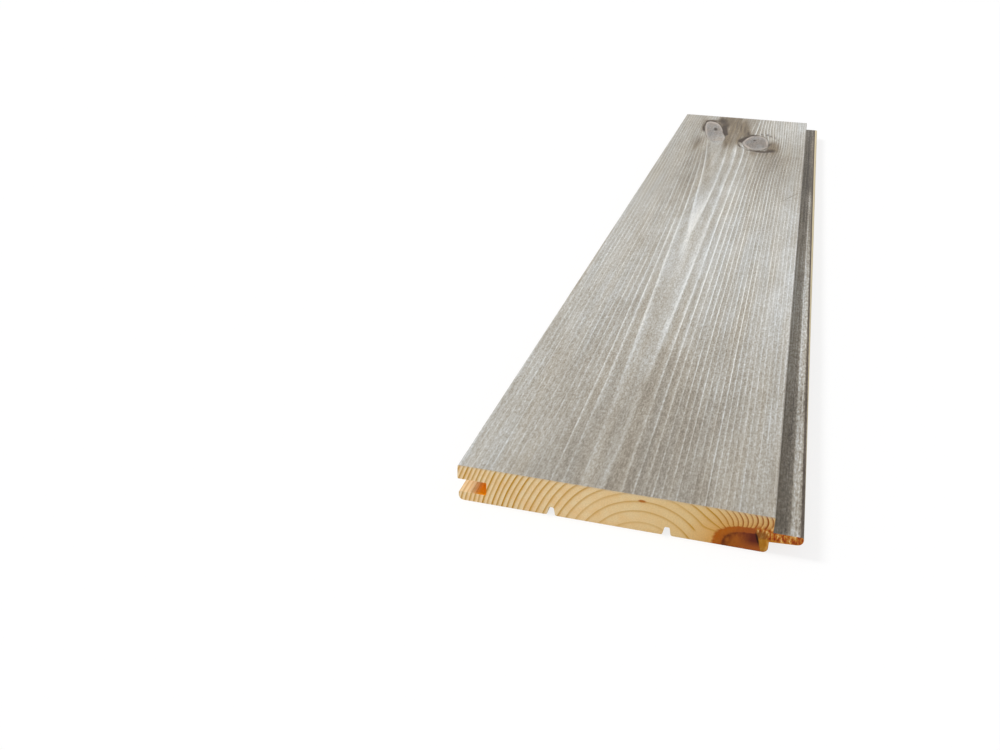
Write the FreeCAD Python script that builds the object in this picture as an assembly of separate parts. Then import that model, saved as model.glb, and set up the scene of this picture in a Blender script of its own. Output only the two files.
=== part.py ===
"""Tongue and groove board: one planed length of softwood panelling, lying with its show face up.

The section lies in the XZ plane and runs along Y.  The tongue points to +X and the groove opens
to -X.  The back, with its two relief slots, rests on Z = 0.  The origin is the middle of the
bottom, halfway between the lip of the groove and the tip of the tongue.
"""
import FreeCAD
import Part
import math
import os

# Overall sizes, in millimetres
board_length = 700.0
board_thickness = 14.0
cover_width = 110.0

# Tongue: its drop is measured from the show face, so that the faces of joined boards lie flush.
# Its underside rises by the taper from root to tip, so that it slips into the next groove.
tongue_length = 10.0
tongue_thickness = 3.8
tongue_drop = 5.9
tongue_taper = 0.7
tongue_upper_round = 0.9
tongue_lower_round = 2.0

# Play that the groove leaves round a neighbour's tongue
play_above_tongue = 0.4
play_below_tongue = 0.9
play_at_tip = 0.8
groove_root_round = 0.4
groove_mouth_round = 0.4

# The back edges stand short of the face edges, so that joined boards close on the show side
back_lip_setback = 0.6
back_shoulder_setback = 0.9
back_edge_round = 1.8
face_edge_round = 0.5

# Relief slots in the back, a pair placed evenly about the middle of the cover width
slot_spacing = 40.6
slot_depth = 3.2
slot_root_width = 1.7
slot_mouth_width = 3.0
slot_root_round = 0.5
slot_mouth_round = 0.7

# The rounds at both ends of a side take at most this share of it
largest_share_of_side = 0.96

# Lines of the section across the board, from the lip of the groove to the tip of the tongue
lip_x = -(cover_width + tongue_length) / 2
shoulder_x = lip_x + cover_width
tongue_tip_x = shoulder_x + tongue_length
groove_root_x = lip_x + tongue_length + play_at_tip
back_lip_x = lip_x + back_lip_setback
back_shoulder_x = shoulder_x - back_shoulder_setback
cover_middle_x = (lip_x + shoulder_x) / 2

# Levels of the section, from the back up to the face
face_z = board_thickness
tongue_top_z = face_z - tongue_drop
tongue_bottom_z = tongue_top_z - tongue_thickness
tongue_tip_bottom_z = tongue_bottom_z + tongue_taper
groove_top_z = tongue_top_z + play_above_tongue
groove_floor_z = tongue_bottom_z - play_below_tongue


def groove_edge():
    """Corners down the groove side: face lip, groove, back lip.  Each is (x, z, round)."""
    return [
        (lip_x, face_z, face_edge_round),
        (lip_x, groove_top_z, groove_mouth_round),
        (groove_root_x, groove_top_z, groove_root_round),
        (groove_root_x, groove_floor_z, groove_root_round),
        (back_lip_x, groove_floor_z, groove_mouth_round),
        (back_lip_x, 0, back_edge_round),
    ]


def relief_slot(middle_x):
    """Corners of one slot in the back: it narrows towards its root and its mouth is eased."""
    half_mouth = slot_mouth_width / 2
    half_root = slot_root_width / 2
    return [
        (middle_x - half_mouth, 0, slot_mouth_round),
        (middle_x - half_root, slot_depth, slot_root_round),
        (middle_x + half_root, slot_depth, slot_root_round),
        (middle_x + half_mouth, 0, slot_mouth_round),
    ]


def tongue_edge():
    """Corners up the tongue side: back shoulder, tongue, face shoulder.  Tongue roots stay square."""
    return [
        (back_shoulder_x, 0, back_edge_round),
        (back_shoulder_x, tongue_bottom_z, 0),
        (tongue_tip_x, tongue_tip_bottom_z, tongue_lower_round),
        (tongue_tip_x, tongue_top_z, tongue_upper_round),
        (shoulder_x, tongue_top_z, 0),
        (shoulder_x, face_z, face_edge_round),
    ]


def round_setbacks(points, roundings):
    """How far from its corner each round starts.  Two rounds that crowd a side shrink to share it."""
    full = []
    for i, point in enumerate(points):
        to_before = points[i - 1] - point
        to_after = points[(i + 1) % len(points)] - point
        full.append(roundings[i] / math.tan(to_before.getAngle(to_after) / 2))
    fitted = list(full)
    for i, point in enumerate(points):
        side = (point - points[i - 1]).Length
        crowding = (full[i - 1] + full[i]) / (largest_share_of_side * side)
        if crowding > 1:
            fitted[i - 1] = min(fitted[i - 1], full[i - 1] / crowding)
            fitted[i] = min(fitted[i], full[i] / crowding)
    return fitted


def corner_arc(before, corner, after, setback):
    """Start, middle and end of the arc that rounds a corner between two straight sides."""
    to_before = (before - corner).normalize()
    to_after = (after - corner).normalize()
    half_angle = to_before.getAngle(to_after) / 2
    radius = setback * math.tan(half_angle)
    inward = (to_before + to_after).normalize()
    middle = corner + inward * (radius / math.sin(half_angle) - radius)
    return corner + to_before * setback, middle, corner + to_after * setback


def rounded_outline(corners, y):
    """Closed wire through (x, z, round) corners at one y, each round an arc tangent to its sides."""
    points = [FreeCAD.Vector(x, y, z) for x, z, _ in corners]
    setbacks = round_setbacks(points, [rounding for _, _, rounding in corners])
    arcs = []
    for i, setback in enumerate(setbacks):
        after = points[(i + 1) % len(points)]
        arcs.append(corner_arc(points[i - 1], points[i], after, setback))
    edges = []
    for i, (start, middle, end) in enumerate(arcs):
        edges.append(Part.LineSegment(arcs[i - 1][-1], start).toShape())
        if start != end:
            edges.append(Part.Arc(start, middle, end).toShape())
    return Part.Wire(edges)


def board():
    """The whole board: its section carried along the length between two square sawn ends."""
    corners = groove_edge()
    corners += relief_slot(cover_middle_x - slot_spacing / 2)
    corners += relief_slot(cover_middle_x + slot_spacing / 2)
    corners += tongue_edge()
    section = Part.Face(rounded_outline(corners, -board_length / 2))
    return section.extrude(FreeCAD.Vector(0, board_length, 0))


os.makedirs("parts", exist_ok=True)
board().exportStep("parts/board.step")
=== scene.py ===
"""Tongue and groove board: brushed pine, stained grey on its face and bare on its ends and back.

The board is one closed surface: its section carried along the length, with the brushed grain and
the cracks sunk into the face.  X runs from groove to tongue, Y along the board, Z up to the face.
Lengths are in metres.
"""
import math
from itertools import starmap
from typing import NamedTuple

import bpy
import numpy as np
from mathutils import Matrix, Vector


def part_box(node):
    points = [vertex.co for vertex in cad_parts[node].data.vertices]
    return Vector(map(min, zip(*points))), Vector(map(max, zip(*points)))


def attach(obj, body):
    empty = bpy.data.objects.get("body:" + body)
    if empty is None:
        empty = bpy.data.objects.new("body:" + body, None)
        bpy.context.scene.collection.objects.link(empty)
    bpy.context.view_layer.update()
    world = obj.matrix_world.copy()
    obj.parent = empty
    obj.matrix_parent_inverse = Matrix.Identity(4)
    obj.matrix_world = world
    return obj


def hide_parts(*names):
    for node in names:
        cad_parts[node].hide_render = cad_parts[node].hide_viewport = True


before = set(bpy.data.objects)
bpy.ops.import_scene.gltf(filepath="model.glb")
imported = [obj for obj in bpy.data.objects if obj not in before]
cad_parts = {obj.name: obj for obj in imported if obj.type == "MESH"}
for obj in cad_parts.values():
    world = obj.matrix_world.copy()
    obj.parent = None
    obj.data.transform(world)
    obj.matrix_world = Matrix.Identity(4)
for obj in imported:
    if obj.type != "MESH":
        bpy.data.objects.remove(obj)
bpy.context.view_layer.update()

bl_info = {
    "name": "Tongue and groove board",
    "version": (1, 0, 0),
    "blender": (4, 5, 0),
    "location": "3D View > Sidebar > Board",
    "description": "Builds a brushed, grey-stained tongue and groove board in a plain studio",
    "category": "Object",
}

MM = 0.001
BOARD_LOW, BOARD_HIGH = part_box("board")

# Which material each side of the section takes
STAINED, PLANED, SAWN = range(3)


def linear(hex_colour):
    """Linear RGBA of an sRGB colour written as #rrggbb."""
    srgb = np.array([int(hex_colour[i:i + 2], 16) for i in (1, 3, 5)]) / 255
    rgb = np.where(srgb <= 0.04045, srgb / 12.92, ((srgb + 0.055) / 1.055) ** 2.4)
    return (*rgb.tolist(), 1.0)


# What a user may change


def length(name, millimetres, description):
    """A property for one length, given in millimetres and kept in metres."""
    return bpy.props.FloatProperty(
        name=name, description=description, default=millimetres * MM, min=0.0,
        precision=5, subtype="DISTANCE", unit="LENGTH")


def colour(name, hex_colour, description):
    """A property for one colour, given as sRGB hex and kept linear."""
    return bpy.props.FloatVectorProperty(
        name=name, description=description, default=linear(hex_colour), size=4,
        min=0.0, max=1.0, subtype="COLOR")


class BoardSection(bpy.types.PropertyGroup):
    """Sizes of the section; its width and thickness are those of the CAD board."""

    tongue_length: length("Tongue length", 10.0, "How far the tongue stands out of its shoulder")
    tongue_thickness: length("Tongue thickness", 3.8, "Thickness of the tongue")
    tongue_drop: length("Tongue drop", 5.9, "From the face down to the top of the tongue")
    tongue_taper: length("Tongue taper", 0.7, "Rise of the tongue's underside from root to tip")
    tongue_upper_round: length("Tongue upper round", 0.9, "Round on the tip's upper corner")
    tongue_lower_round: length("Tongue lower round", 2.0, "Round on the tip's lower corner")
    play_above: length("Play above", 0.4, "Room that the groove leaves above a tongue")
    play_below: length("Play below", 0.9, "Room that the groove leaves below a tongue")
    play_at_tip: length("Play at tip", 0.8, "Room that the groove leaves at a tongue's tip")
    groove_round: length("Groove round", 0.4, "Rounds at the root and mouth of the groove")
    lip_setback: length("Back lip setback", 0.6, "How far the back lip stands short of the face")
    shoulder_setback: length("Back shoulder setback", 0.9, "How far the back shoulder stands short")
    back_edge_round: length("Back edge round", 1.8, "Round on the two edges of the back")
    face_edge_round: length("Face edge round", 0.5, "Eased edge on both sides of the face")
    slot_spacing: length("Slot spacing", 40.6, "Between the two relief slots in the back")
    slot_depth: length("Slot depth", 3.2, "Depth of a relief slot")
    slot_root_width: length("Slot root width", 1.7, "Width of a relief slot at its root")
    slot_mouth_width: length("Slot mouth width", 3.0, "Width of a relief slot at the back")
    slot_root_round: length("Slot root round", 0.5, "Round at the root of a relief slot")
    slot_mouth_round: length("Slot mouth round", 0.7, "Round at the mouth of a relief slot")


class BoardGrain(bpy.types.PropertyGroup):
    """How the tree grew, as the face shows it, and how deep the brush went."""

    ring_width: length("Ring width", 1.993, "Growth of the tree in one year")
    first_ring: length("First ring", 20.72, "Radius of the ring whose tip shows on the face")
    pith_depth: length("Pith depth", 22.46, "From the face to the tree's pith, at the near end")
    pith_across: bpy.props.FloatProperty(
        name="Pith place", description="Where the pith lies across the board, at the near end",
        default=-11.55 * MM, precision=5, subtype="DISTANCE", unit="LENGTH")
    brush_depth: length("Brush depth", 0.05, "How deep the brush wore the soft wood between rings")
    crack_depth: length("Crack depth", 0.5, "How deep the cracks and the bark beside the knots go")


class BoardColours(bpy.types.PropertyGroup):
    """Colours of the stain and of the bare wood."""

    stain_deep: colour("Stain, deepest", "#5b544b", "Where the stain lies thickest")
    stain_dark: colour("Stain, dark", "#8a8276", "Soft wood that took much stain")
    stain_middle: colour("Stain, middle", "#aaa499", "Soft wood")
    stain_pale: colour("Stain, pale", "#c9c9c6", "Hard rings, which take less stain")
    stain_bare: colour("Stain, palest", "#e8e8e5", "Rings that the brush left almost bare")
    resin: colour("Stained resin", "#796c59", "Resin-rich wood round the knots")
    # The dark marks' colour is also painted as shade along the tongue's rounded upper edge
    mark: colour("Dark marks", "#3c2f24", "Bark and cracks beside the knots")
    bare_soft: colour("Bare pine", "#ead0a6", "Pale wood between the rings")
    bare_ring: colour("Bare pine, rings", "#b07e00", "Amber ring lines")
    floor: colour("Floor", "#ffffff", "Studio floor")


# Places of the knots and marks on the face, in millimetres


class Knot(NamedTuple):
    """A branch cut by the face: its middle, half sizes, the lean of its long axis, and how full its
    corners are: 2 is an ellipse, more is squarer."""

    x: float
    y: float
    half_width: float
    half_length: float
    lean: float
    fullness: float = 2.0


class Mark(NamedTuple):
    """A soft-edged mark along the grain: its middle, half sizes and strength, how far it leans
    sideways for each unit along the board, and how it bends."""

    x: float
    y: float
    across: float
    along: float
    strength: float
    lean: float = 0.0
    bend: float = 0.0


KNOTS = (Knot(-27.8, 277, 7.8, 46, 0.135, 2.5), Knot(10.0, 243.5, 10.4, 29, 0.02))

# The rows from here to SMOOTH are Marks.  First, paler and darker tone, as a share of the scale
# from black to white: stain on the face, and on the tongue a darker top towards the far end and painted
# shade in its corner
TONES = (
    (4, -350, 34, 100, -0.095),
    (-56, -330, 10, 60, 0.05),
    (10, -260, 18, 60, -0.02),
    (-3, -60, 30, 150, 0.075),
    (0, -40, 70, 170, 0.015),
    (-12.5, -130, 6, 110, 0.05),
    (45, -100, 14, 140, 0.085),
    (-54, -70, 12, 130, 0.05),
    (32, 165, 18, 70, -0.07),
    (17, 174, 5, 28, -0.06),
    (21, 105, 4, 45, -0.04),
    (2, 75, 4, 65, 0.035),
    (42, 330, 22, 70, 0.095),
    (-31, 110, 9, 100, -0.08),
    (-13.3, -54, 1.4, 24, 0.12),
    (-14.5, 25, 3, 40, 0.045),
    (-13, 26, 2.5, 12, 0.055),
    (-15, -5, 2.5, 9, -0.05),
    (-14.8, -53, 1.3, 12, 0.05),
    (-7.3, 34, 2.5, 14, 0.07),
    (-21, 17, 1.2, 10, 0.045),
    (-7, -88, 3.5, 12, 0.05),
    (-14, 150, 6, 45, 0.04),
    (-25, 206, 3.5, 14, 0.05),
    (-5, 204, 4, 12, 0.07),
    (-42, 230, 4, 45, -0.05),
    (-50, 320, 9, 40, -0.03),
    (22, 262, 2.5, 5, 0.06),
    (10, 272, 10, 6, -0.05),
    (-22, 328, 7, 12, -0.06),
    (-31, 303, 4, 12, 0.02),
    (-27, 267, 5, 9, -0.015),
    (-22.5, 243, 5, 13, 0.07),
    (9, 242, 9, 24, -0.06),
    (-1.4, 229, 1.2, 7, 0.13, -0.15),
    # On the tongue: darker towards the far end
    (57.5, -300, 3, 80, -0.025),
    (57.5, 15, 3, 65, -0.13),
    (57.5, 140, 3, 45, -0.32),
    (57.5, 235, 3, 75, -0.31),
    (57.5, 340, 3, 45, -0.36),
    # Painted shade in the tongue's corner under the shoulder, deeper towards the far end
    (52.8, 250, 2.5, 90, -0.06),
)
RESIN = (
    (-9, 285, 7, 60, 0.72),
    (-15, 298, 3.2, 45, 0.8),
    (-13, 235, 4, 26, 0.8),
    (-5, 250, 3, 25, 0.7),
    (-21, 325, 8, 40, 1.8),
    (-12, 345, 5, 12, 0.8),
    (-4, 310, 4.5, 40, 0.75, -0.04),
    (1, 280, 4, 25, 1.0),
    (4, 320, 4, 40, 0.45),
    (-34, 326, 4.5, 6, 1.3),
    (-40, 302, 3, 26, 1.0, -0.06),
    (-36, 232, 3.5, 24, 0.65),
    (-36, 205, 5, 25, 0.5),
    (25, 225, 5, 18, 1.4),
    (25, 243, 3.5, 14, 0.8),
    (14, 203, 9, 14, 0.75),
    (27, 180, 8, 40, 0.4),
)
DARK_MARKS = (
    (-19.2, 286, 1.8, 12, 1.3, -0.05),
    (-18.3, 277, 2.2, 9, 1.0, -0.08),
    (-16.8, 269, 2.0, 6, 0.75),
    (-21, 298, 1.6, 9, 0.9, -0.1),
    (-18.8, 308, 2.6, 10, 0.42),
    (-22.5, 322, 4.5, 22, 0.65, -0.08),
    (-26, 332, 4, 12, 0.38),
    (-38.2, 287, 1.0, 15, 1.0, -0.11),
    (-39, 308, 1.2, 10, 0.45),
    (-27.7, 288, 1.5, 6.5, 1.3, -0.1),
    (-37.8, 322, 2.2, 4.5, 0.6),
    (-33, 327, 4.5, 4.5, 0.7),
    (-11, 320, 1.0, 25, 0.45, -0.05),
    (-6.5, 305, 1.1, 32, 0.55, -0.06),
    (-2.5, 295, 1.5, 26, 0.55, -0.05),
    (1.6, 281, 1.6, 13, 0.7, -0.05),
    (-14, 232, 1.6, 14, 0.4, -0.1),
    (-36.5, 236, 1.4, 14, 0.4, -0.1),
    (-2.4, 250, 2.2, 8, 1.8, 0.14, 0.004),
    (1.0, 264, 2.0, 5, 0.9, 0.25),
    (6.5, 274, 3.4, 4.2, 1.0),
    (8.3, 252.5, 1.3, 3.6, 1.1),
    (5, 251.5, 1.2, 2.5, 0.5),
    (-3.0, 228, 0.8, 8, 0.9, -0.2),
    (0.3, 221, 0.7, 6, 0.7, -0.35),
    (6, 213, 3, 2.2, 0.6),
    (15, 210.5, 7, 4, 1.0),
    (23.5, 217, 4.5, 6.5, 0.9),
    (21.8, 241, 1.4, 9, 0.65, 0.12),
    (13, 281, 1.4, 4.5, 0.65),
    (17.7, 280, 1.5, 5, 0.7),
    (20.8, 275, 1.4, 5, 0.65),
    (24.7, 270, 1.3, 6, 0.55),
    (27.6, 261, 1.0, 5, 0.45),
)

# Where the pale rim of a knot and the dark line round it do not show
WORN_RIMS = (
    (-24, 236, 8, 14, 1.3),
    (10, 214, 8, 5, 0.7),
    (18.8, 233, 2.5, 8, 0.8),
    (8, 272, 4, 4, 0.7),
)

# Where the ring lines are fainter
FADED = (
    (9, 150, 10, 60, 0.35),
    (-14.5, -5, 4, 28, 0.3),
    (-10.0, 130, 2.5, 60, 0.25),
)

# How far the grain wanders to one side
WANDER = (
    (-20, 120, 9, 130, 1.75),
    (-6, 150, 6, 40, 0.7),
    (33, 110, 16, 70, -0.9),
    (-28, -210, 12, 90, 0.5),
    (10, -110, 25, 70, 0.3),
)

# Where the face is smoother than elsewhere
SMOOTH = ((-56, 75, 12, 75, 0.7),)

# How the lines of the face bend: the share of its distance by which a knot moves a line out, and,
# over the squared distance from the near end, the drift of the pith and of the rings close to it
KNOT_PUSH = 0.5
PITH_DRIFT = 2.65e-6
HEART_DRIFT = 2.72e-5
HEART_REACH = 12.0

# How fast the squared depth of the pith falls along the board, and the dip that draws out the tip of
# the first ring: its height, its place from the near end and its half length
PITH_RISE = 0.12
PITH_RISE_FURTHER = 3.5e-4
TIP_DIP = 4.0
TIP_PLACE = 345.0
TIP_REACH = 35.0

# Seeds of the random hills in the grain's wander, the wear, the late wood and the resin
WANDER_SEED, WEAR_SEED, LATE_SEED, RESIN_SEED = 3, 5, 9, 12

# How pale the late wood of each year shows, from the ring at the tip outwards
LATE_WOOD = (0.12, 0.10, 0.12, 0.13, 0.10, 0.14, 0.11, 0.11, 0.15, 0.10,
             0.09, 0.11, 0.14, 0.12, 0.09, 0.08, 0.10, 0.08, 0.06, 0.07)

# Fineness of the mesh
FACE_STEP = 0.5 * MM
SAME_PLACE = FACE_STEP / 100
SHARP_EDGE = math.radians(32)
ARC_STEPS = 5
KNOTTY_FROM = 190 * MM
PLAIN_STATIONS = 170
KNOTTY_STATIONS = 90
LARGEST_SHARE_OF_SIDE = 0.96


# The section


def relief_slot(size, middle_x):
    """Corners of one slot in the back: it narrows towards its root and its mouth is eased."""
    mouth = size.slot_mouth_width / 2
    root = size.slot_root_width / 2
    back = BOARD_LOW.z
    return [
        (middle_x - mouth, back, size.slot_mouth_round, PLANED),
        (middle_x - root, back + size.slot_depth, size.slot_root_round, PLANED),
        (middle_x + root, back + size.slot_depth, size.slot_root_round, PLANED),
        (middle_x + mouth, back, size.slot_mouth_round, PLANED),
    ]


def section_corners(size):
    """Corners (x, z, round, finish of the side that follows), down the groove side, along the back,
    up the tongue side and back across the face."""
    lip, tip = BOARD_LOW.x, BOARD_HIGH.x
    back, face = BOARD_LOW.z, BOARD_HIGH.z
    shoulder = tip - size.tongue_length
    tongue_top = face - size.tongue_drop
    tongue_bottom = tongue_top - size.tongue_thickness
    groove_top = tongue_top + size.play_above
    groove_floor = tongue_bottom - size.play_below
    groove_root = lip + size.tongue_length + size.play_at_tip
    back_lip = lip + size.lip_setback
    back_shoulder = shoulder - size.shoulder_setback
    middle = (lip + shoulder) / 2
    return [
        (lip, face, size.face_edge_round, STAINED),
        (lip, groove_top, size.groove_round, PLANED),
        (groove_root, groove_top, size.groove_round, PLANED),
        (groove_root, groove_floor, size.groove_round, PLANED),
        (back_lip, groove_floor, size.groove_round, PLANED),
        (back_lip, back, size.back_edge_round, PLANED),
        *relief_slot(size, middle - size.slot_spacing / 2),
        *relief_slot(size, middle + size.slot_spacing / 2),
        (back_shoulder, back, size.back_edge_round, PLANED),
        (back_shoulder, tongue_bottom, 0.0, PLANED),
        (tip, tongue_bottom + size.tongue_taper, size.tongue_lower_round, PLANED),
        (tip, tongue_top, size.tongue_upper_round, STAINED),
        (shoulder, tongue_top, 0.0, STAINED),
        (shoulder, face, size.face_edge_round, STAINED),
    ]


def unit(vectors):
    """The vectors at length one."""
    return vectors / np.linalg.norm(vectors, axis=-1, keepdims=True)


def outline(corners):
    """The section as a ring of points, with the finish of the step from each point to the next.

    A corner of half angle h and round r starts r / tan h before the corner and ends as far after
    it, or less where two rounds crowd a side; between them the direction from the arc's centre turns
    evenly.  Stained level sides are cut into small steps, so that the grain can be sunk into them."""
    place = np.array([corner[:2] for corner in corners])
    rounding = np.array([corner[2] for corner in corners])
    finish = np.array([corner[3] for corner in corners])
    before = np.roll(place, 1, axis=0) - place
    after = np.roll(place, -1, axis=0) - place
    side_length = np.linalg.norm(after, axis=1)
    before, after = unit(before), unit(after)
    half = np.arccos((before * after).sum(1)) / 2
    full = rounding / np.tan(half)
    crowding = np.maximum((full + np.roll(full, -1)) / (LARGEST_SHARE_OF_SIDE * side_length), 1)
    setback = full / np.maximum(crowding, np.roll(crowding, 1))
    radius = setback * np.tan(half)
    inward = unit(before + after)
    centre = place + inward * (radius / np.sin(half))[:, None]
    turn = (math.pi - 2 * half)[:, None, None]
    share = np.linspace(0, 1, ARC_STEPS + 1)[None, :, None]
    first = unit(before * np.cos(half)[:, None] - inward)[:, None, :]
    last = unit(after * np.cos(half)[:, None] - inward)[:, None, :]
    spoke = (np.sin((1 - share) * turn) * first + np.sin(share * turn) * last) / np.sin(turn)
    arcs = centre[:, None, :] + spoke * radius[:, None, None]

    points, finishes = [], []
    for i, arc in enumerate(arcs):
        start, end = arc[-1], arcs[(i + 1) % len(arcs)][0]
        level = abs(end[1] - start[1]) < SAME_PLACE
        fine = level and finish[i] == STAINED
        steps = math.ceil(np.linalg.norm(end - start) / FACE_STEP) if fine else 1
        side = start + (end - start) * np.linspace(0, 1, steps + 1)[:-1, None]
        points += [arc[:-1], side]
        arc_finish = min(finish[i], finish[i - 1])
        finishes += [np.full(ARC_STEPS, arc_finish), np.full(steps, finish[i])]
    points, finishes = np.concatenate(points), np.concatenate(finishes)
    distinct = np.linalg.norm(np.roll(points, -1, axis=0) - points, axis=1) > SAME_PLACE
    return points[distinct], finishes[distinct]


# The grain of the face


def smooth_step(value, low, high):
    """0 below low, 1 above high and 3t^2 - 2t^3 between."""
    t = np.clip((value - low) / (high - low), 0, 1)
    return t * t * (3 - 2 * t)


def soft_noise(x, y, across, along, seed):
    """Random hills and dips from -1 to 1: chance values at the corners of across by along cells,
    joined by smooth steps."""
    cells = 97
    values = np.random.default_rng(seed).uniform(-1, 1, (cells, cells))
    column, row = np.floor(x / across).astype(int), np.floor(y / along).astype(int)
    right, up = smooth_step(x / across - column, 0, 1), smooth_step(y / along - row, 0, 1)
    next_column, next_row = (column + 1) % cells, (row + 1) % cells
    column, row = column % cells, row % cells
    low = values[column, row] * (1 - right) + values[next_column, row] * right
    high = values[column, next_row] * (1 - right) + values[next_column, next_row] * right
    return low * (1 - up) + high * up


def knot_distance(x, y, knot):
    """Distance from a knot's middle, 1 on its rim: the leaning offset divided by the half sizes, its
    parts summed at the power of the fullness, with a slight wave round the rim."""
    dx, dy = x - knot.x, y - knot.y
    across = (dx * math.cos(knot.lean) + dy * math.sin(knot.lean)) / knot.half_width
    along = (dy * math.cos(knot.lean) - dx * math.sin(knot.lean)) / knot.half_length
    angle = np.arctan2(along, across)
    wave = 1 + 0.035 * np.sin(3 * angle + 40 * knot.lean) + 0.02 * np.sin(5 * angle + 1)
    total = np.abs(across) ** knot.fullness + np.abs(along) ** knot.fullness
    return total ** (1 / knot.fullness) * wave


def marks(x, y, places):
    """Sum of soft marks: each is its strength times exp(-(across^2 + along^2)), where across is the
    distance from the mark's own bent line and along that from its middle, in half sizes."""
    total = np.zeros_like(x)
    for mark in starmap(Mark, places):
        dy = y - mark.y
        line = mark.x + mark.lean * dy + mark.bend * dy ** 2
        total += mark.strength * np.exp(-((x - line) / mark.across) ** 2 - (dy / mark.along) ** 2)
    return total


def ring_count(x, y, grain):
    """How many growth rings lie between the first ring and a point of the face, in millimetres.

    The grain wanders a little, and flows round each knot as a stream round a post: a line at distance
    d beside it is moved out by a share of d / distance^2.  The rings are circles about a pith that
    runs below the face, rising and drifting along the board, with a dip that draws out the tip of the
    first ring, so the count is (radius - first ring) / ring width."""
    flow = x - marks(x, y, WANDER) + 0.3 * soft_noise(x, y, 14, 90, WANDER_SEED)
    for knot in KNOTS:
        near = np.maximum(knot_distance(x, y, knot), 1.0)
        middle = knot.x - (y - knot.y) * math.tan(knot.lean)
        flow = flow - KNOT_PUSH * (x - middle) / near ** 2
    run = y - BOARD_LOW.y / MM
    pith = grain.pith_across / MM - PITH_DRIFT * run ** 2
    pith = pith - HEART_DRIFT * run ** 2 * np.exp(-((flow - pith) / HEART_REACH) ** 2)
    depth_squared = (grain.pith_depth / MM) ** 2 - PITH_RISE * run - PITH_RISE_FURTHER * run ** 2
    depth_squared = depth_squared + TIP_DIP * np.exp(-((run - TIP_PLACE) / TIP_REACH) ** 2)
    radius = np.sqrt((flow - pith) ** 2 + depth_squared)
    return (radius * MM - grain.first_ring) / grain.ring_width


def brushed_face(x, y, grain, shoulder):
    """Fields of the face at points x, y: ring count, strength of its line, tone of the stain, how far
    fibres show, knot distance, paleness of its rim, resin and dark marks; and how deep the brush and
    the cracks go."""
    x, y = x / MM, y / MM
    rings = ring_count(x, y, grain)
    knot = np.min([knot_distance(x, y, each) for each in KNOTS], axis=0)
    outside = smooth_step(knot, 0.96, 1.08)
    resin = marks(x, y, RESIN) * (0.85 + 0.55 * soft_noise(x, y, 1.5, 50, RESIN_SEED))
    resin = np.clip(resin, 0, 1) * outside

    # Late wood shows bolder away from the near end, and fainter beside the groove and in resin
    late = np.interp(rings, np.arange(len(LATE_WOOD)), LATE_WOOD) * smooth_step(rings, -1.0, -0.7)
    bolder = 0.9 + 0.95 * smooth_step(y, -350, -130) + 0.35 * smooth_step(y, -40, 250)
    late = late * bolder * (1 - 0.45 * smooth_step(-x, 24, 32)) * (1 - 0.6 * resin)
    late = late * (1 - marks(x, y, FADED))
    late = late * (1 + 0.45 * soft_noise(x, y, 3, 50, LATE_SEED)) * outside

    # Where late wood is pale, the wood between its lines is a little darker, most of all at the heart
    heart = np.exp(-((x - grain.pith_across / MM) / 13) ** 2)
    tone = 0.655 + marks(x, y, TONES) - (0.2 + 0.12 * heart) * late
    fibres = (1 - marks(x, y, SMOOTH)) * (0.8 + 0.2 * smooth_step(y, -350, -230))
    fibres = fibres + 0.6 * smooth_step(x, shoulder / MM, shoulder / MM + 8)

    # A dark seam runs round each knot where its rim shows; the brush wears the soft wood of each ring
    rim = np.clip(1 - marks(x, y, WORN_RIMS), 0, 1)
    seam = 0.6 * rim * np.exp(-((knot - 1.05) / 0.05) ** 2)
    dark = smooth_step(marks(x, y, DARK_MARKS) + seam, 0.08, 0.95)
    soft_wood = 0.5 - 0.5 * np.cos(2 * math.pi * rings)
    worn = soft_wood * outside * (0.75 + 0.25 * soft_noise(x, y, 9, 60, WEAR_SEED))
    depth = grain.brush_depth * worn + grain.crack_depth * dark ** 2 * outside
    fields = {"ring": rings, "late": late, "tone": tone, "fibres": fibres,
              "knot": knot, "rim": rim, "resin": resin, "dark": dark}
    return fields, depth


# The mesh


def stations():
    """Places along the board where the section stands, closer together at the knotty end."""
    plain = np.linspace(BOARD_LOW.y, KNOTTY_FROM, PLAIN_STATIONS, endpoint=False)
    return np.concatenate([plain, np.linspace(KNOTTY_FROM, BOARD_HIGH.y, KNOTTY_STATIONS)])


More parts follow.
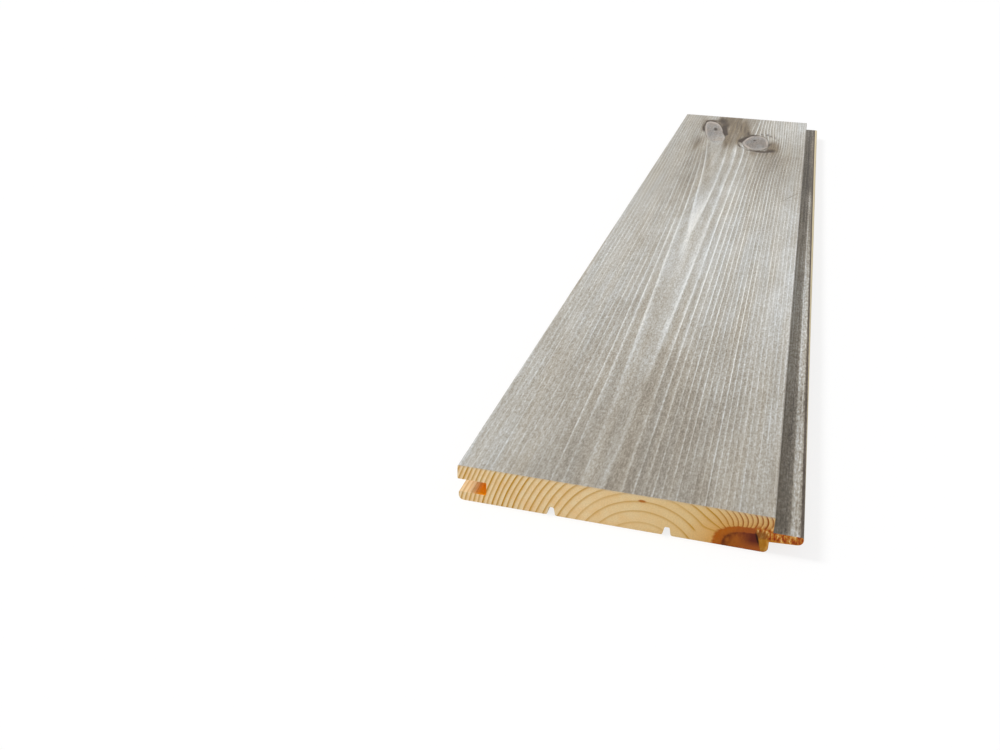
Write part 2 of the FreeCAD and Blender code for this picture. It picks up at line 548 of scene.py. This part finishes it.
def board_mesh(size, grain):
    """The board as one closed mesh.

    Point (j, i) is point i of the outline at station j.  Where the side is stained and looks up, it
    is lowered by the brush depth there, times the fourth power of the normal's rise.  Quads join
    neighbours both ways and one face closes each end."""
    ring, finish = outline(section_corners(size))
    along = stations()
    count, rows = len(ring), len(along)
    x, y = np.meshgrid(ring[:, 0], along)
    fields, depth = brushed_face(x, y, grain, BOARD_HIGH.x - size.tongue_length)
    tangent = np.roll(ring, -1, axis=0) - np.roll(ring, 1, axis=0)
    rise = np.maximum(-unit(tangent)[:, 0], 0) ** 4 * (finish == STAINED)
    z = ring[:, 1] - depth * rise
    points = np.stack([x, y, z], axis=-1).reshape(-1, 3)

    i, j = np.meshgrid(np.arange(count), np.arange(rows - 1))
    after = (i + 1) % count
    quads = np.stack([j * count + i, (j + 1) * count + i,
                      (j + 1) * count + after, j * count + after], axis=-1).reshape(-1, 4)
    near_end = np.arange(count)
    far_end = near_end[::-1] + (rows - 1) * count
    mesh = bpy.data.meshes.new("brushed_board")
    mesh.from_pydata(points.tolist(), [], quads.tolist() + [near_end.tolist(), far_end.tolist()])

    sides = np.tile(finish, rows - 1)
    mesh.polygons.foreach_set("material_index", np.append(sides, [SAWN, SAWN]).astype(np.int32))
    mesh.polygons.foreach_set("use_smooth", np.ones(len(mesh.polygons), bool))
    mesh.set_sharp_from_angle(angle=SHARP_EDGE)
    for name, values in fields.items():
        attribute = mesh.attributes.new(name, "FLOAT", "POINT")
        attribute.data.foreach_set("value", values.astype(np.float32).ravel())
    lay_flat(mesh, ring, finish, along)
    mesh.validate()
    return mesh


def lay_flat(mesh, ring, finish, along):
    """A map of the surface: the wrapped side below, stretched where it is stained, the ends above.

    Across the wrap the place is the running length of the outline, weighted by finish, and along it
    the share of the length."""
    wrap_share, gap, stained_weight = 0.78, 0.01, 3.0
    step = np.linalg.norm(np.roll(ring, -1, axis=0) - ring, axis=1)
    step = step * np.where(finish == STAINED, stained_weight, 1.0)
    up = np.concatenate([[0], np.cumsum(step)]) / step.sum() * wrap_share
    right = (along - along[0]) / (along[-1] - along[0])
    i, j = np.meshgrid(np.arange(len(ring)), np.arange(len(along) - 1))
    wrap = np.stack([np.stack([right[j + next_row], up[i + next_point]], -1)
                     for next_row, next_point in ((0, 0), (1, 0), (1, 1), (0, 1))], -2)
    strip = (1 - wrap_share) / 2 - gap
    end = (ring - ring.min(0)) / (ring.max(0) - ring.min(0))
    near = np.stack([end[:, 0], wrap_share + gap + end[:, 1] * strip], -1)
    far = np.stack([end[:, 0], wrap_share + 2 * gap + strip + end[:, 1] * strip], -1)[::-1]
    layer = mesh.uv_layers.new(name="OFBake")
    layer.data.foreach_set("uv", np.concatenate([wrap.reshape(-1, 2), near, far]).ravel())


# The materials


def add(tree, kind, feeds=(), stops=(), out=None, **settings):
    """Adds one shader node and returns its output called out, or the first one in use.

    feeds gives its sockets, in order or by name or number, a value or the output of another node.
    A Mix node takes its share at 0 and mixes numbers at 2 and 3, vectors at 4 and 5 or colours at 6
    and 7.  stops gives a colour ramp its places and colours, or numbers that it carries as greys.
    A colour may be written as sRGB hex.  settings are the node's own fields."""
    node = tree.nodes.new("ShaderNode" + kind)
    for name, value in settings.items():
        setattr(node, name, value)
    for socket, value in feeds.items() if isinstance(feeds, dict) else enumerate(feeds):
        if isinstance(value, bpy.types.NodeSocket):
            tree.links.new(value, node.inputs[socket])
        else:
            node.inputs[socket].default_value = linear(value) if isinstance(value, str) else value
    for number, (place, value) in enumerate(stops):
        ramp = node.color_ramp.elements
        stop = ramp[number] if number < 2 else ramp.new(place)
        stop.position = place
        if isinstance(value, float):
            value = (value, value, value, 1.0)
        stop.color = linear(value) if isinstance(value, str) else value
    if out:
        return node.outputs[out]
    return next((socket for socket in node.outputs if socket.enabled), None)


def new_material(name):
    """An empty node material and its tree."""
    material = bpy.data.materials.new(name)
    material.use_nodes = True
    material.node_tree.nodes.clear()
    return material, material.node_tree


def patches(tree, place, cell, detail=2.0, out="Fac"):
    """Soft random patches, about as large along X, Y and Z as cell gives in millimetres; math.inf is
    for no change that way."""
    per_metre = [1 / (size * MM) for size in cell]
    scaled = add(tree, "VectorMath", [place, per_metre], operation="MULTIPLY")
    return add(tree, "TexNoise", {"Vector": scaled, "Scale": 1.0, "Detail": detail}, out=out)


def coats(tree, base, *layers):
    """A base colour with layers over it in turn, each given as the share it covers and its colour."""
    for share, layer in layers:
        base = add(tree, "Mix", {0: share, 6: base, 7: layer}, data_type="RGBA")
    return base


def spot(tree, place, middle, half_sizes, soft, turn=(0.0, 0.0, 0.0)):
    """1 inside an egg with the given middle, half sizes and turn, 0 outside it, over a soft rim."""
    egg = add(tree, "Mapping", {
        "Vector": place, "Location": middle, "Rotation": turn, "Scale": half_sizes},
        vector_type="TEXTURE")
    reach = add(tree, "VectorMath", [egg], operation="LENGTH")
    return add(tree, "MapRange", {
        "Value": reach, "From Min": 1 - soft, "From Max": 1 + soft, "To Min": 1.0, "To Max": 0.0},
        interpolation_type="SMOOTHSTEP")


def ring_line(tree, x, ring, heart):
    """How strongly the line of a growth ring shows on the face: a slow rise to the hard late wood and
    a sharp end at the next spring's growth.  It is thin at the sides of the board and broad over the
    heart, where the face cuts the rings flat."""
    year = add(tree, "Math", [ring, 0.1], operation="SUBTRACT")
    within = add(tree, "Math", [year], operation="FRACT")
    thin = add(tree, "ValToRGB", [within], stops=(
        (0.0, 0.1), (1.0, 0.15), (0.04, 0.0), (0.5, 0.03), (0.7, 0.15), (0.8, 0.45), (0.88, 1.0),
        (0.95, 0.9)))
    broad = add(tree, "ValToRGB", [within], stops=(
        (0.0, 0.35), (1.0, 0.45), (0.08, 0.1), (0.4, 0.08), (0.6, 0.3), (0.76, 0.7), (0.87, 1.0),
        (0.94, 0.9)))
    from_heart = add(tree, "Math", [x, heart], operation="SUBTRACT")
    from_heart = add(tree, "Math", [from_heart], operation="ABSOLUTE")
    flat = add(tree, "MapRange", {
        "Value": from_heart, "From Min": 6 * MM, "From Max": 18 * MM, "To Min": 0.5, "To Max": 0.0})
    return add(tree, "Mix", {0: flat, 2: thin, 3: broad})


def tongue_reach(tree, x, y, shoulder):
    """Share of the way from the tongue's shoulder to its tip.  On its outer half it runs ahead towards
    the far end, so that the pale band narrows there and the stain stops shorter of the tip."""
    far = add(tree, "MapRange", {
        "Value": y, "From Min": BOARD_LOW.y, "From Max": BOARD_HIGH.y, "To Max": 0.26})
    across = add(tree, "MapRange", {"Value": x, "From Min": shoulder, "From Max": BOARD_HIGH.x})
    outer = add(tree, "MapRange", {"Value": across, "From Min": 0.55, "From Max": 0.95})
    return add(tree, "Math", [outer, far, across], operation="MULTIPLY_ADD")


def knot_wood(tree, place, tone, knot, rim):
    """Colour inside a knot: grey, turning to pink in places, with a thin and broken pale rim."""
    inside = add(tree, "ValToRGB", [tone], stops=(
        (0.5, "#6d6a68"), (0.8, "#b6b4b0"), (0.655, "#93908c")))
    cloud = patches(tree, place, (9, 28, math.inf))
    pink = add(tree, "MapRange", {"Value": cloud, "From Min": 0.4, "From Max": 0.6})
    inside = add(tree, "Mix", {0: pink, 6: inside, 7: (0.95, 0.86, 0.79, 1.0)},
                 data_type="RGBA", blend_type="MULTIPLY")
    ledge = add(tree, "ValToRGB", [knot], stops=(
        (0.72, 0.0), (1.0, 0.5), (0.82, 0.2), (0.88, 0.95), (0.96, 0.95)))
    rim = add(tree, "Math", [rim, ledge], operation="MULTIPLY")
    broken = add(tree, "MapRange", {
        "Value": cloud, "From Min": 0.35, "From Max": 0.65, "To Min": 0.5})
    rim = add(tree, "Math", [rim, broken], operation="MULTIPLY")
    return add(tree, "Mix", {0: rim, 6: inside, 7: "#bcb0a6"}, data_type="RGBA")


def grey_stained_pine(colours, shoulder, heart):
    """Brushed pine under a thin grey stain.  The brush leaves the hard ring lines proud, and they
    take less stain, so the eye sees pale lines on grey, short dark fibres along the grain, grey-pink
    knots and a little sheen at a low angle."""
    material, tree = new_material("grey_stained_brushed_pine")
    place = add(tree, "TexCoord", out="Object")
    x, y = add(tree, "SeparateXYZ", [place]).node.outputs[:2]
    ring, late, tone, fibres, knot, rim, resin, dark = (
        add(tree, "Attribute", out="Fac", attribute_name=name)
        for name in ("ring", "late", "tone", "fibres", "knot", "rim", "resin", "dark"))
    line = ring_line(tree, x, ring, heart)
    tone = add(tree, "Math", [line, late, tone], operation="MULTIPLY_ADD")

    # Streaks of stain: how wide and long each is in millimetres, its detail and how much it shows
    for width, reach, detail, amount in (
            (0.55, 3.0, 2.0, 0.36), (0.7, 1.5, 1.0, 0.26), (1.4, 60.0, 2.0, 0.18),
            (12.0, 45.0, 3.0, 0.16)):
        streak = patches(tree, place, (width, reach, width), detail)
        streak = add(tree, "MapRange", {"Value": streak, "To Min": -amount / 2, "To Max": amount / 2})
        tone = add(tree, "Math", [streak, fibres, tone], operation="MULTIPLY_ADD")

    # Across the tongue: painted shade in its corner under the shoulder, pale where the brush ran,
    # painted shade along the rounded edge
    across = tongue_reach(tree, x, y, shoulder)
    band = add(tree, "ValToRGB", [across], stops=(
        (0.0, 0.5), (1.0, 0.14), (0.02, 0.27), (0.30, 0.25), (0.35, 0.19), (0.42, 0.24), (0.54, 0.26),
        (0.595, 0.6), (0.64, 0.56), (0.70, 0.5), (0.80, 0.46), (0.86, 0.36), (0.90, 0.14)))
    shift = add(tree, "MapRange", {"Value": band, "To Min": -0.3, "To Max": 0.3})
    tone = add(tree, "Math", [tone, shift], operation="ADD")

    # Tone to colour, warmer and cooler in long streaks
    wood = add(tree, "ValToRGB", [tone], stops=(
        (0.33, colours.stain_deep), (0.92, colours.stain_bare), (0.51, colours.stain_dark),
        (0.64, colours.stain_middle), (0.78, colours.stain_pale)))
    drift = patches(tree, place, (8, 150, math.inf))
    tint = add(tree, "ValToRGB", [drift], stops=(
        (0.35, (1.015, 0.997, 0.97, 1.0)), (0.65, (0.985, 1.0, 1.02, 1.0))))
    wood = add(tree, "Mix", {0: 1.0, 6: wood, 7: tint}, data_type="RGBA", blend_type="MULTIPLY")

    # Over it lie resin, knots, dark marks and a scratch.  A dark line of painted shade runs along the
    # tongue's rounded upper edge, and past it the tongue's tip is bare
    light = add(tree, "MapRange", {
        "Value": tone, "From Min": 0.5, "From Max": 0.8, "To Min": 0.55, "To Max": 1.5})
    soaked = add(tree, "VectorMath", {0: colours.resin[:3], "Scale": light}, operation="SCALE")
    inside = knot_wood(tree, place, tone, knot, rim)
    in_knot = add(tree, "MapRange", {
        "Value": knot, "From Min": 0.95, "From Max": 1.03, "To Min": 1.0, "To Max": 0.0})
    scratch = spot(tree, place, (42.5 * MM, 71 * MM, BOARD_HIGH.z), (0.35 * MM, 16 * MM, MM), 0.5,
                   turn=(0.0, 0.0, math.radians(-21.5)))
    # Painted shade: a dark line along the tongue's rounded upper edge, in the colour of the dark marks
    edge_shade = add(tree, "ValToRGB", [across], stops=(
        (0.87, 0.0), (1.0, 0.0), (0.905, 0.7), (0.965, 0.7)))
    bare = add(tree, "MapRange", {"Value": across, "From Min": 0.985, "From Max": 1.01})
    wood = coats(tree, wood, (resin, soaked), (in_knot, inside), (dark, colours.mark),
                 (scratch, colours.stain_dark), (edge_shade, colours.mark), (bare, "#d6c6a0"))

    fibre = patches(tree, place, (0.5, 4, 0.5))
    bump = add(tree, "Bump", {"Height": fibre, "Distance": 0.06 * MM, "Strength": 0.6})
    rough = add(tree, "MapRange", {"Value": fibre, "To Min": 0.5, "To Max": 0.75})
    shader = add(tree, "BsdfPrincipled", {
        "Base Color": wood, "Roughness": rough, "Specular IOR Level": 0.25, "Normal": bump})
    add(tree, "OutputMaterial", [shader])
    return material


def branch_distance(tree, place):
    """Distance from the middle of the branch at the near end, 1 on its rim: the cube root of the sum
    of the cubed offsets, in half sizes, with a fine ripple."""
    branch = add(tree, "Mapping", {
        "Vector": place, "Location": (45 * MM, BOARD_LOW.y, 0.0),
        "Rotation": (0.0, math.radians(-2.5), 0.0), "Scale": (14.2 * MM, 26 * MM, 8.7 * MM)},
        vector_type="TEXTURE")
    away = add(tree, "VectorMath", [branch], operation="ABSOLUTE")
    square = add(tree, "VectorMath", [away, away], operation="MULTIPLY")
    cubes = add(tree, "VectorMath", [square, away], operation="DOT_PRODUCT")
    reach = add(tree, "Math", [cubes, 1 / 3], operation="POWER")
    ripple = add(tree, "TexNoise", {"Vector": branch, "Scale": 6.0, "Detail": 3.0})
    ripple = add(tree, "MapRange", {"Value": ripple, "To Min": -0.07, "To Max": 0.07})
    return add(tree, "Math", [reach, ripple], operation="ADD")


def ring_flow(tree, place, close):
    """The place at which the rings are read, and how far it is bent, from 0 to 1.

    Close to the near end the rings bend towards the branch: beside it they are rays from a point below
    it, past it they stand upright, and between the branch and the face they bulge sideways."""
    x, y, z = add(tree, "SeparateXYZ", [place]).node.outputs
    focus_x, focus_z, top = 45.1 * MM, -2.4 * MM, 20.9 * MM
    bent = add(tree, "MapRange", {
        "Value": x, "From Min": 26.4 * MM, "From Max": 41.6 * MM}, interpolation_type="SMOOTHSTEP")
    bent = add(tree, "Math", [bent, close], operation="MULTIPLY")
    rise = add(tree, "Math", [z, focus_z], operation="SUBTRACT")
    past = add(tree, "MapRange", {"Value": x, "From Min": 42 * MM, "From Max": 47 * MM})
    rise = add(tree, "Mix", {0: past, 2: rise, 3: BOARD_HIGH.z - focus_z})
    over = add(tree, "MapRange", {"Value": z, "From Min": 8.6 * MM, "From Max": BOARD_HIGH.z})
    below = add(tree, "Math", [1.0, over], operation="SUBTRACT")
    bulge = add(tree, "Math", [over, below], operation="MULTIPLY")
    from_focus = add(tree, "Math", [x, focus_x], operation="SUBTRACT")
    from_focus = add(tree, "Math", [bulge, -4.0 * MM, from_focus], operation="MULTIPLY_ADD")
    ray = add(tree, "Math", [from_focus, rise], operation="DIVIDE")
    ray_x = add(tree, "Math", [ray, top - focus_z, focus_x], operation="MULTIPLY_ADD")
    ray_place = add(tree, "CombineXYZ", {"X": ray_x, "Y": y, "Z": top})
    flow = add(tree, "Mix", {0: bent, 4: place, 5: ray_place}, data_type="VECTOR")
    return flow, bent


def pith_rings(tree, place, flow):
    """Lines of the rings about a pith below the board, and the radius in shares of 20 mm.

    The pith's line wavers along the length.  The ring count is 2.722 share^1.818 + 0.254.  A line ends
    each ring; its width is a share of the ring that grows with share^0.8, and chance makes it fainter
    or bolder."""
    sway = 0.9 * MM
    pith = (7.4 * MM + sway / 2, 0.0, -12.0 * MM + sway / 2)
    waver = patches(tree, place, (16.667, 250, 16.667), out="Color")
    offset = add(tree, "VectorMath", [flow, pith], operation="SUBTRACT")
    offset = add(tree, "VectorMath", [waver, (sway, 0.0, sway), offset], operation="MULTIPLY_ADD")
    offset = add(tree, "VectorMath", [offset, (1.0, 0.0, 1.0)], operation="MULTIPLY")
    radius = add(tree, "VectorMath", [offset], operation="LENGTH")
    share = add(tree, "Math", [radius, 20 * MM], operation="DIVIDE")
    power = add(tree, "Math", [share, 1.818], operation="POWER")
    count = add(tree, "Math", [power, 2.722, 0.254], operation="MULTIPLY_ADD")
    within = add(tree, "Math", [count], operation="FRACT")
    to_next = add(tree, "Math", [1.0, within], operation="SUBTRACT")
    narrow = add(tree, "Math", [share, -0.8], operation="POWER")
    gap = add(tree, "Math", [to_next, narrow], operation="MULTIPLY")
    late = add(tree, "ValToRGB", [gap], stops=(
        (0.0, 0.5), (1.0, 0.0), (0.02, 1.0), (0.11, 0.95), (0.17, 0.5), (0.26, 0.12), (0.5, 0.0)))
    number = add(tree, "Math", [count], operation="FLOOR")
    chance = add(tree, "TexWhiteNoise", {"W": number}, noise_dimensions="1D")
    strength = add(tree, "MapRange", {"Value": chance, "To Min": 0.65, "To Max": 1.0})
    return add(tree, "Math", [late, strength], operation="MULTIPLY"), share


def branch_wood(tree, x, z, reach, streaky):
    """Colour of the branch: a brown core under a dark arch, with a dark block to one side, and a rust
    rim."""
    core = add(tree, "ValToRGB", [reach], stops=(
        (0.1, "#a85e1a"), (1.0, "#a05008"), (0.5, "#93500f"), (0.68, "#7c3e10"), (0.75, "#5f2a0c"),
        (0.80, "#9a5010"), (0.93, "#a25608")))
    mottle = add(tree, "MapRange", {
        "Value": streaky, "From Min": 0.4, "From Max": 0.65, "To Max": 0.5})
    redder = add(tree, "MapRange", {
        "Value": x, "From Min": 36 * MM, "From Max": 43 * MM, "To Max": 0.5})
    aside = add(tree, "MapRange", {"Value": x, "From Min": 39 * MM, "From Max": 43.5 * MM})
    above = add(tree, "MapRange", {"Value": z, "From Min": 1.0 * MM, "From Max": 3.6 * MM})
    under = add(tree, "MapRange", {
        "Value": reach, "From Min": 0.74, "From Max": 0.78, "To Min": 1.0, "To Max": 0.0})
    block = add(tree, "Math", [aside, above], operation="MULTIPLY")
    block = add(tree, "Math", [block, under], operation="MULTIPLY")
    return coats(tree, core, (mottle, "#a8621c"), (redder, "#8a4024"), (block, "#5a2214"))


def golden_resin(tree, x, z, streaky):
    """Colour of the resin beside the branch: streaks of red-brown to pale gold, plain brown next to the
    branch and golden along its lower edge."""
    resin = add(tree, "ValToRGB", [streaky], stops=(
        (0.34, "#7c2806"), (0.68, "#e6bc7c"), (0.45, "#a04a12"), (0.55, "#b87a2c")))
    body = add(tree, "MapRange", {
        "Value": x, "From Min": 47.4 * MM, "From Max": 49.4 * MM, "To Min": 0.8, "To Max": 0.0})
    lower = add(tree, "MapRange", {
        "Value": z, "From Min": 7.0 * MM, "From Max": 8.4 * MM, "To Min": 1.0, "To Max": 0.1})
    body = add(tree, "Math", [body, lower], operation="MULTIPLY")
    edge = add(tree, "MapRange", {
        "Value": z, "From Min": 4.6 * MM, "From Max": 5.6 * MM, "To Min": 0.5, "To Max": 0.0})
    return coats(tree, resin, (body, "#7a5020"), (edge, "#bc8216"))


def bare_pine(name, colours, end_grain, groove_root):
    """Unfinished pine, planed or sawn.  The eye sees straw-coloured wood with thin amber rings, and
    near one end a red-brown branch, which the rings run into, with golden resin beside it."""
    material, tree = new_material(name)
    place = add(tree, "TexCoord", out="Object")
    x, y, z = add(tree, "SeparateXYZ", [place]).node.outputs
    near = BOARD_LOW.y
    close = add(tree, "MapRange", {
        "Value": y, "From Min": near + 10 * MM, "From Max": near + 45 * MM,
        "To Min": 1.0, "To Max": 0.0}, interpolation_type="SMOOTHSTEP")
    reach = branch_distance(tree, place)
    flow, bent = ring_flow(tree, place, close)
    late, share = pith_rings(tree, place, flow)

    # Ring lines are faint on planed sides and near the pith, bold towards the branch, none at its foot
    full = 1.0 if end_grain else 0.6
    faint = add(tree, "MapRange", {
        "Value": share, "From Min": 0.9, "From Max": 2.4, "To Min": 0.5 * full, "To Max": full})
    bolder = add(tree, "MapRange", {
        "Value": x, "From Min": 12 * MM, "From Max": 24 * MM, "To Max": 0.9 * full})
    bold = add(tree, "Math", [faint, bolder], operation="MAXIMUM")
    bold = add(tree, "Math", [bold, bent], operation="MAXIMUM")
    late = add(tree, "Math", [late, bold], operation="MULTIPLY")
    foot = spot(tree, place, (27.5 * MM, near, 1.0 * MM), (4 * MM, 30 * MM, 4 * MM), 0.3)
    clear = add(tree, "Math", [1.0, foot], operation="SUBTRACT")
    late = add(tree, "Math", [late, clear], operation="MULTIPLY")
    ring = add(tree, "Mix", {0: bent, 6: colours.bare_ring, 7: "#864200"}, data_type="RGBA")

    # Cream and tan cells between the rings, deeper towards the branch, and inside the groove painted
    # amber shade towards its root
    cells = patches(tree, place, (3.3333, 33.333, 3.3333), 3.0)
    soft = add(tree, "ValToRGB", [cells], stops=(
        (0.3, "#ead8b2"), (0.7, "#e9c797"), (0.5, colours.bare_soft)))
    deep = add(tree, "MapRange", {
        "Value": x, "From Min": BOARD_LOW.x, "From Max": 25 * MM, "To Max": 0.8})
    resinous = add(tree, "MapRange", {
        "Value": reach, "From Min": 1.0, "From Max": 1.65, "To Min": 0.75, "To Max": 0.0})
    drop = spot(tree, place, (6 * MM, near, 11.8 * MM), (1.3 * MM, 3 * MM, 0.5 * MM), 0.4)
    layers = [(deep, "#cdad73"), (resinous, "#c8903e"), (late, ring), (drop, "#a8662a")]
    if not end_grain:
        # Painted shade: amber, as of light bounced between the walls, deep in the groove
        root = spot(tree, place, groove_root, (5.5 * MM, 10.0, 4 * MM), 0.2)
        layers.append((root, "#fcaa10"))

    # The branch, and resin from a leaning crack beside it to the tongue's tip
    streaky = patches(tree, place, (1, 16.667, 2.2222))
    core = branch_wood(tree, x, z, reach, streaky)
    in_branch = add(tree, "MapRange", {
        "Value": reach, "From Min": 0.98, "From Max": 1.04, "To Min": 1.0, "To Max": 0.0})
    crack = add(tree, "Math", [z, 1 / 3, x], operation="MULTIPLY_ADD")
    beyond = add(tree, "MapRange", {"Value": crack, "From Min": 46.7 * MM, "From Max": 47.1 * MM})
    low = add(tree, "MapRange", {
        "Value": z, "From Min": 8.2 * MM, "From Max": 10.4 * MM, "To Min": 1.0, "To Max": 0.0})
    golden = add(tree, "Math", [beyond, low], operation="MULTIPLY")
    golden = add(tree, "Math", [golden, close], operation="MULTIPLY")
    resin = golden_resin(tree, x, z, streaky)
    gape = spot(tree, place, (45.2 * MM, near, 4.8 * MM), (0.35 * MM, 8 * MM, 2.2 * MM), 0.4,
                turn=(0.0, math.radians(-18.4), 0.0))

    # A breath of stain that ran over the edge of the face
    bleed = add(tree, "MapRange", {
        "Value": z, "From Min": 13.1 * MM, "From Max": 13.8 * MM, "To Max": 0.3})
    wood = coats(tree, soft, *layers, (in_branch, core), (golden, resin), (gape, "#2c1008"),
                 (bleed, colours.stain_middle))

    fibre = patches(tree, place, (0.5, 0.5 if end_grain else 9, 0.5))
    light = add(tree, "MapRange", {"Value": fibre, "To Min": 0.82, "To Max": 1.18})
    wood = add(tree, "VectorMath", {0: wood, "Scale": light}, operation="SCALE")
    bump = add(tree, "Bump", {"Height": fibre, "Distance": 0.05 * MM, "Strength": 0.4})
    shader = add(tree, "BsdfPrincipled", {
        "Base Color": wood, "Roughness": 0.65, "Specular IOR Level": 0.12, "Normal": bump})
    add(tree, "OutputMaterial", [shader])
    return material


def seen_as_picture(tree):
    """1 for rays that come from the camera, a reflection or a view through glass, 0 for others."""
    path = add(tree, "LightPath").node
    seen = path.outputs["Is Camera Ray"]
    for kind in ("Is Glossy Ray", "Is Transmission Ray"):
        seen = add(tree, "Math", [seen, path.outputs[kind]], operation="MAXIMUM")
    return seen


def white_paper(colours):
    """Matt white paper.  The camera sees it glow, so that it comes out white, and it still takes the
    board's shadow."""
    material, tree = new_material("white_paper")
    paper = add(tree, "BsdfDiffuse", {"Color": colours.floor})
    glow = add(tree, "Emission", {"Color": colours.floor, "Strength": 1.0})
    share = add(tree, "Math", [seen_as_picture(tree), 0.8], operation="MULTIPLY")
    mixed = add(tree, "MixShader", [share, paper, glow])
    add(tree, "OutputMaterial", [mixed])
    return material


# The studio


def lay_floor(scene):
    """A wide sheet of paper just below the board."""
    half, level = 15.0, BOARD_LOW.z - 0.05 * MM
    corners = [(half * x, half * y, level) for x, y in ((-1, -1), (1, -1), (1, 1), (-1, 1))]
    mesh = bpy.data.meshes.new("studio_floor")
    mesh.from_pydata(corners, [], [(0, 1, 2, 3)])
    mesh.materials.append(white_paper(scene.board_colours))
    floor = bpy.data.objects.new("studio_floor", mesh)
    scene.collection.objects.link(floor)


def hang_sun(scene, name, strength, softness, way):
    """A sun, softness degrees wide, whose light goes the given way."""
    sun = bpy.data.lights.new(name, "SUN")
    sun.energy = strength
    sun.angle = math.radians(softness)
    lamp = bpy.data.objects.new(name, sun)
    lamp.rotation_euler = Vector(way).to_track_quat("-Z", "Y").to_euler()
    scene.collection.objects.link(lamp)


def light_sky(scene):
    """White light from all round, brighter to look at than it is on the board."""
    world = bpy.data.worlds.new("soft_white")
    world.use_nodes = True
    tree = world.node_tree
    tree.nodes.clear()
    strength = add(tree, "MapRange", {"Value": seen_as_picture(tree), "To Min": 0.5, "To Max": 1.0})
    sky = add(tree, "Background", {"Color": (1, 1, 1, 1), "Strength": strength})
    add(tree, "OutputWorld", [sky])
    scene.world = world


def place_camera(scene):
    """A camera before the near end that looks down along the board, rolled a little."""
    lens = bpy.data.cameras.new("camera")
    lens.sensor_width = 36.0
    lens.lens = 37.0
    lens.clip_start = 0.01
    camera = bpy.data.objects.new("camera", lens)
    place = Vector((37.57, -651.56, 196.87)) * MM
    aim = Vector((-66.52, -272.60, 14.0)) * MM
    turn = (aim - place).to_track_quat("-Z", "Y").to_matrix().to_4x4()
    roll = Matrix.Rotation(math.radians(1.54), 4, "Z")
    camera.matrix_world = Matrix.Translation(place) @ turn @ roll
    scene.collection.objects.link(camera)
    scene.camera = camera


# The operators


class OBJECT_OT_tongue_groove_board(bpy.types.Operator):
    """Build the brushed board over its CAD solid"""

    bl_idname = "object.tongue_groove_board"
    bl_label = "Board"

    def execute(self, context):
        scene = context.scene
        size, grain, colours = scene.board_section, scene.board_grain, scene.board_colours
        shoulder = BOARD_HIGH.x - size.tongue_length
        groove_depth = size.tongue_length + size.play_at_tip
        groove_rise = BOARD_HIGH.z - size.tongue_drop - size.tongue_thickness / 2
        groove_root = (BOARD_LOW.x + groove_depth, 0.0, groove_rise)
        mesh = board_mesh(size, grain)
        mesh.materials.append(grey_stained_pine(colours, shoulder, grain.pith_across))
        mesh.materials.append(bare_pine("planed_pine", colours, False, groove_root))
        mesh.materials.append(bare_pine("sawn_pine_end", colours, True, groove_root))
        board = bpy.data.objects.new("brushed_board", mesh)
        scene.collection.objects.link(board)
        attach(board, "root")
        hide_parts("board")
        return {"FINISHED"}


class OBJECT_OT_board_studio(bpy.types.Operator):
    """Set up the floor, the light and the camera"""

    bl_idname = "object.board_studio"
    bl_label = "Studio"

    def execute(self, context):
        scene = context.scene
        lay_floor(scene)
        hang_sun(scene, "key_light", 2.0, 18, (0.69, 0.0, -0.72))
        hang_sun(scene, "fill_light", 0.6, 60, (0.0, 1.0, -0.35))
        light_sky(scene)
        place_camera(scene)
        scene.view_settings.view_transform = "Standard"
        return {"FINISHED"}


class VIEW3D_PT_tongue_groove_board(bpy.types.Panel):
    """Sizes, grain and colours of the board, and the steps that build it"""

    bl_label = "Tongue and groove board"
    bl_space_type = "VIEW_3D"
    bl_region_type = "UI"
    bl_category = "Board"

    def draw(self, context):
        layout = self.layout
        for group in (context.scene.board_section, context.scene.board_grain,
                      context.scene.board_colours):
            box = layout.box()
            for name in group.bl_rna.properties.keys():
                if name not in ("rna_type", "name"):
                    box.prop(group, name)
        layout.operator(OBJECT_OT_tongue_groove_board.bl_idname)
        layout.operator(OBJECT_OT_board_studio.bl_idname)


CLASSES = (
    BoardSection,
    BoardGrain,
    BoardColours,
    OBJECT_OT_tongue_groove_board,
    OBJECT_OT_board_studio,
    VIEW3D_PT_tongue_groove_board,
)


def register():
    for cls in CLASSES:
        bpy.utils.register_class(cls)
    bpy.types.Scene.board_section = bpy.props.PointerProperty(type=BoardSection)
    bpy.types.Scene.board_grain = bpy.props.PointerProperty(type=BoardGrain)
    bpy.types.Scene.board_colours = bpy.props.PointerProperty(type=BoardColours)


def unregister():
    del bpy.types.Scene.board_colours
    del bpy.types.Scene.board_grain
    del bpy.types.Scene.board_section
    for cls in reversed(CLASSES):
        bpy.utils.unregister_class(cls)


def main():
    """Builds the board and its studio."""
    register()
    bpy.ops.object.tongue_groove_board()
    bpy.ops.object.board_studio()


if __name__ == "__main__":
    main()
